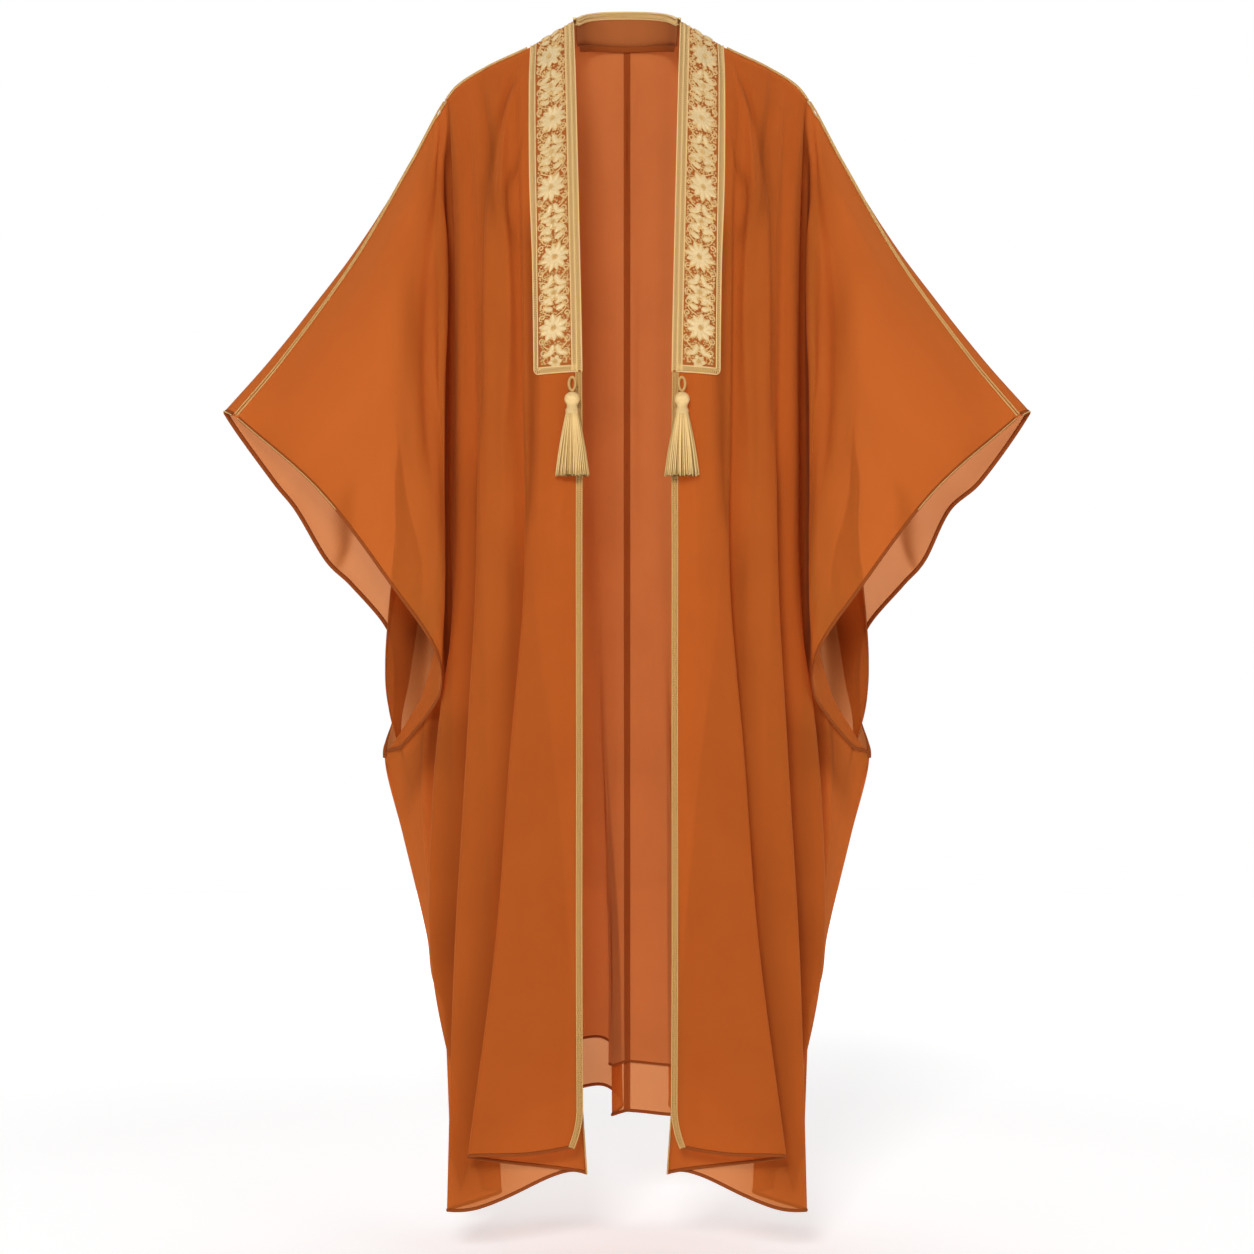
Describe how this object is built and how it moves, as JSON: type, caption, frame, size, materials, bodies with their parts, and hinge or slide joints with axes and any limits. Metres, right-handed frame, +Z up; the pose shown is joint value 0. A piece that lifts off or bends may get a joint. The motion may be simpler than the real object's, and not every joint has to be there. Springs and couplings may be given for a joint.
{
  "type": "open abaya",
  "caption": "Open full-length abaya of sheer cloth, worn shape with wide sleeves held out, embroidered neck band, narrow gold braids down the fronts and over the arms, and tassels.",
  "frame": {"origin": "the nape: the middle of the back neck seam, where the garment rests on its wearer", "axes": "+Z up, the front faces -Y, the wearer's left sleeve is on +X"},
  "size_m": [0.95, 0.33, 1.4199],
  "materials": {
    "georgette": "sheer crinkled georgette, soft sheen",
    "lining": "sheer plain weave, soft sheen",
    "facing": "firm plain weave, matte",
    "embroidery": "metallic thread embroidery between woven gold braids",
    "gold_braid": "woven gold braid, satin glint",
    "tassel_silk": "twisted gold silk, satin"
  },
  "bodies": {
    "root": {"front_left": "georgette", "front_right": "georgette", "back_left": "georgette", "back_right": "georgette", "back_lining_left": "lining", "back_lining_right": "lining", "band_left": "embroidery", "band_right": "embroidery", "edge_braid_left": "gold_braid", "edge_braid_right": "gold_braid", "fold_cord_left": "gold_braid", "fold_cord_right": "gold_braid", "seam_braid_left": "gold_braid", "seam_braid_right": "gold_braid", "tassel_loop_left": "gold_braid", "tassel_loop_right": "gold_braid", "tassel_left": "tassel_silk", "tassel_right": "tassel_silk", "neck_stand": "facing", "neck_braid": "gold_braid"}
  },
  "joints": []
}
